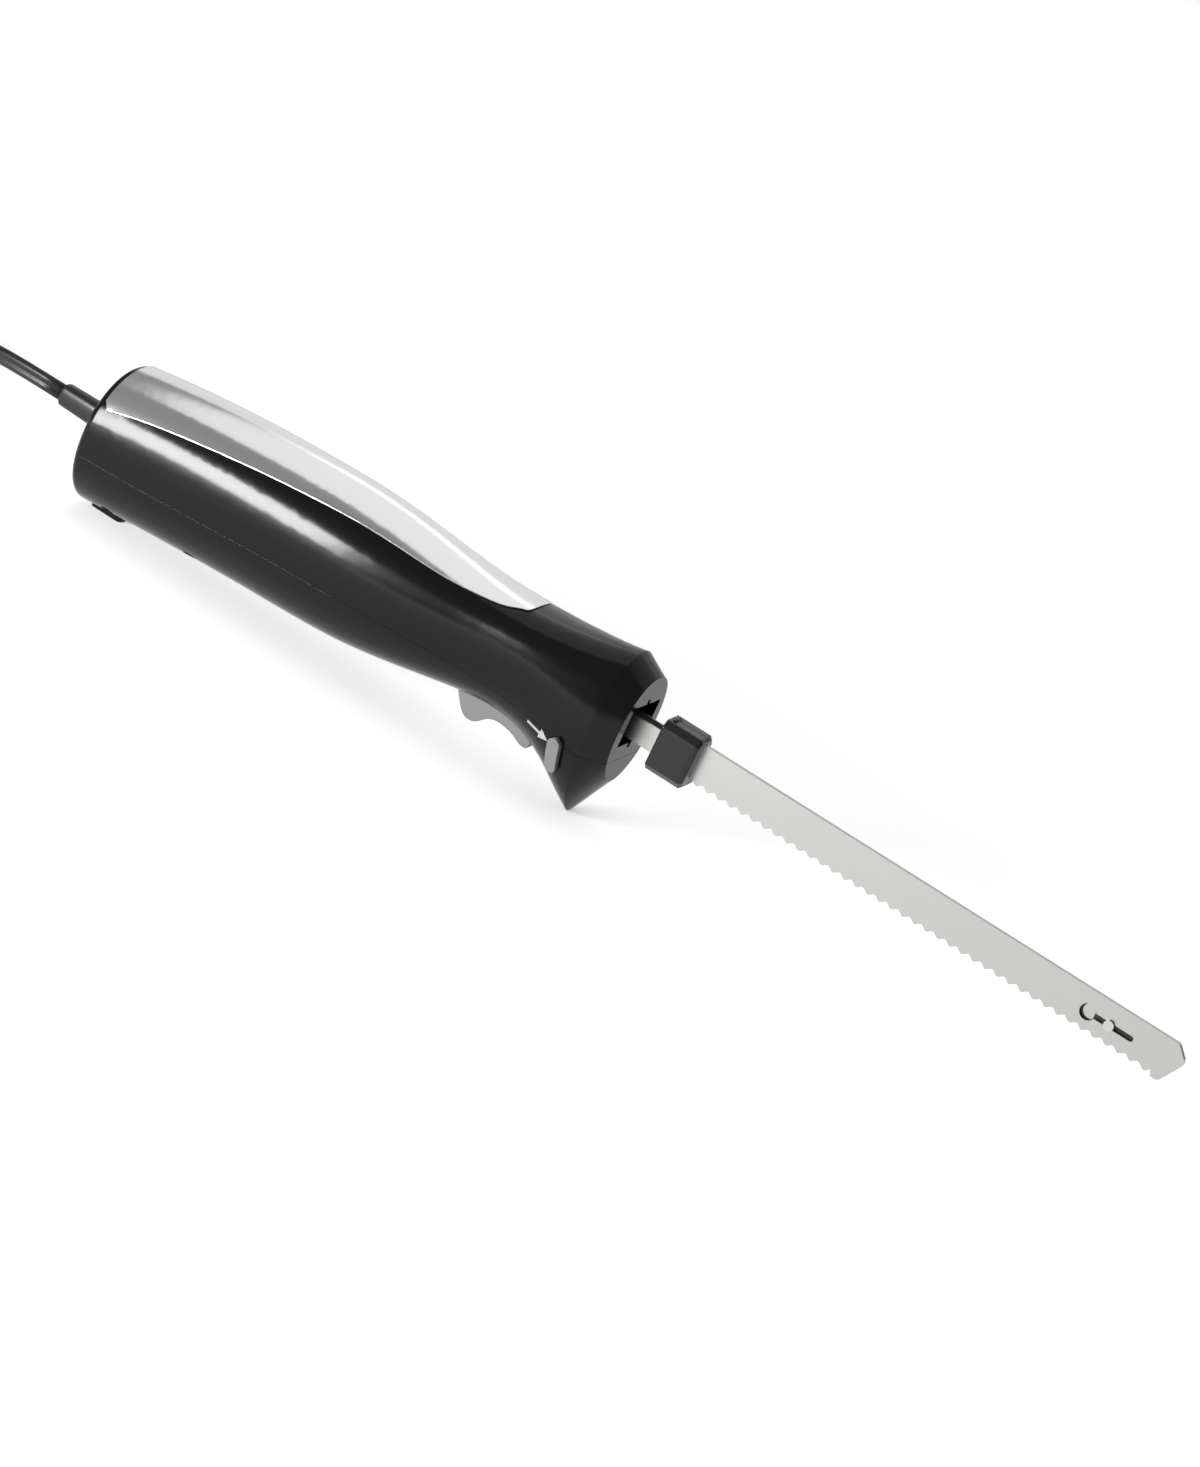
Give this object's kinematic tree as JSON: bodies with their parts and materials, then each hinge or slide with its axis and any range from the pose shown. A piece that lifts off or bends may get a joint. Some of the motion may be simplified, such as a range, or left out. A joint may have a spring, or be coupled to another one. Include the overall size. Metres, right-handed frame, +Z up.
{
  "type": "electric carving knife",
  "caption": "Corded electric carving knife: a gloss black handle with chrome trim, finger trigger and release buttons, and paired serrated blades that slide in opposition.",
  "frame": {"origin": "midway between the rear of the handle and the blade tips, in the middle of its width, on the surface the heel pad and the finger guard tip stand on", "axes": "+X along the blades to their tips, +Z up through the handle, +Y to the left side"},
  "size_m": [0.7171, 0.0785, 0.0694],
  "materials": {
    "housing_black": "gloss",
    "trim_chrome": "polished",
    "cord_rubber": "satin",
    "nylon_black": "matte",
    "capacitor_yellow": "matte",
    "lead_insulation": "satin",
    "screw_steel": "satin",
    "tie_black": "satin",
    "brass_pin": "satin",
    "nylon_natural": "satin",
    "bronze_bush": "satin",
    "core_steel": "satin",
    "copper_wire": "gloss",
    "carbon_black": "matte",
    "spring_steel": "polished",
    "shaft_steel": "polished",
    "shuttle_black": "satin",
    "blade_steel": "satin",
    "guard_black": "satin",
    "button_grey": "satin"
  },
  "bodies": {
    "housing": {"upper_housing": "housing_black", "lower_housing": "housing_black", "top_trim": "trim_chrome", "strain_relief": "cord_rubber", "cord_clamp": "nylon_black", "capacitor": "capacitor_yellow", "lead_wires": "lead_insulation", "case_screws": "screw_steel", "cord": "cord_rubber", "cord_coil": "cord_rubber", "cord_tie": "tie_black", "plug_body": "cord_rubber", "plug_prongs": "brass_pin", "gearbox_frame": "nylon_natural", "gear_bushes": "bronze_bush", "front_bearing": "bronze_bush", "rear_bearing": "bronze_bush", "field_core": "core_steel", "field_coils": "copper_wire", "brush_holders": "brass_pin", "carbon_brushes": "carbon_black", "brush_springs": "spring_steel", "switch_body": "nylon_black", "trigger_pin": "spring_steel", "trigger_spring": "spring_steel", "release_springs": "spring_steel"},
    "armature": {"motor_shaft": "shaft_steel", "armature_core": "core_steel", "armature_winding": "copper_wire", "commutator": "copper_wire", "cooling_fan": "nylon_black", "worm": "shaft_steel"},
    "gear": {"drive_gear": "nylon_natural", "left_eccentric": "nylon_natural", "right_eccentric": "nylon_natural", "gear_axle": "shaft_steel"},
    "left_carrier": {"left_shuttle": "shuttle_black", "left_latch": "spring_steel"},
    "right_carrier": {"right_shuttle": "shuttle_black", "right_latch": "spring_steel"},
    "left_knife": {"left_blade": "blade_steel", "left_guard": "guard_black", "tip_rivet": "shaft_steel"},
    "right_knife": {"right_blade": "blade_steel", "right_guard": "guard_black"},
    "trigger_lever": {"trigger": "button_grey"},
    "plunger": {"switch_plunger": "nylon_natural"},
    "left_release": {"left_release_button": "button_grey"},
    "right_release": {"right_release_button": "button_grey"}
  },
  "joints": [
    {"name": "armature_turn", "type": "hinge", "parent": "housing", "child": "armature", "pos_m": [0, 0, 0.0289], "axis": [1, 0, 0], "range_deg": [-1800, 1800]},
    {"name": "gear_turn", "type": "hinge", "parent": "housing", "child": "gear", "pos_m": [-0.06595, 0, 0.0429], "axis": [0, 1, 0], "range_deg": [-90, 90]},
    {"name": "left_blade_stroke", "type": "slide", "parent": "housing", "child": "left_carrier", "axis": [1, 0, 0], "range_m": [-0.00425, 0.00425]},
    {"name": "right_blade_stroke", "type": "slide", "parent": "housing", "child": "right_carrier", "axis": [1, 0, 0], "range_m": [-0.00425, 0.00425]},
    {"name": "left_blade_pull", "type": "slide", "parent": "left_carrier", "child": "left_knife", "axis": [1, 0, 0], "range_m": [0, 0.04]},
    {"name": "right_blade_pull", "type": "slide", "parent": "right_carrier", "child": "right_knife", "axis": [1, 0, 0], "range_m": [0, 0.04]},
    {"name": "trigger_press", "type": "hinge", "parent": "housing", "child": "trigger_lever", "pos_m": [-0.03195, 0, 0.0244], "axis": [0, 1, 0], "range_deg": [0, 4.5], "stiffness_Nm_per_rad": 1, "springref_deg": -4.58, "deforming": ["trigger_spring"]},
    {"name": "plunger_press", "type": "slide", "parent": "housing", "child": "plunger", "axis": [0, 0, 1], "range_m": [0, 0.0013]},
    {"name": "left_release_press", "type": "slide", "parent": "housing", "child": "left_release", "axis": [0, -1, 0], "range_m": [0, 0.0016], "stiffness_N_per_m": 600, "springref_m": -0.001, "deforming": ["release_springs"]},
    {"name": "right_release_press", "type": "slide", "parent": "housing", "child": "right_release", "axis": [0, 1, 0], "range_m": [0, 0.0016], "stiffness_N_per_m": 600, "springref_m": -0.001, "deforming": ["release_springs"]}
  ],
  "couplings": [
    {"joint": "gear_turn", "follows": "armature_turn", "ratio": 0.05},
    {"joint": "left_blade_stroke", "follows": "armature_turn", "m_per_rad": 0.00013528},
    {"joint": "right_blade_stroke", "follows": "armature_turn", "m_per_rad": -0.00013528},
    {"joint": "right_blade_pull", "follows": "left_blade_pull", "ratio": 1},
    {"joint": "plunger_press", "follows": "trigger_press", "m_per_rad": 0.016}
  ]
}
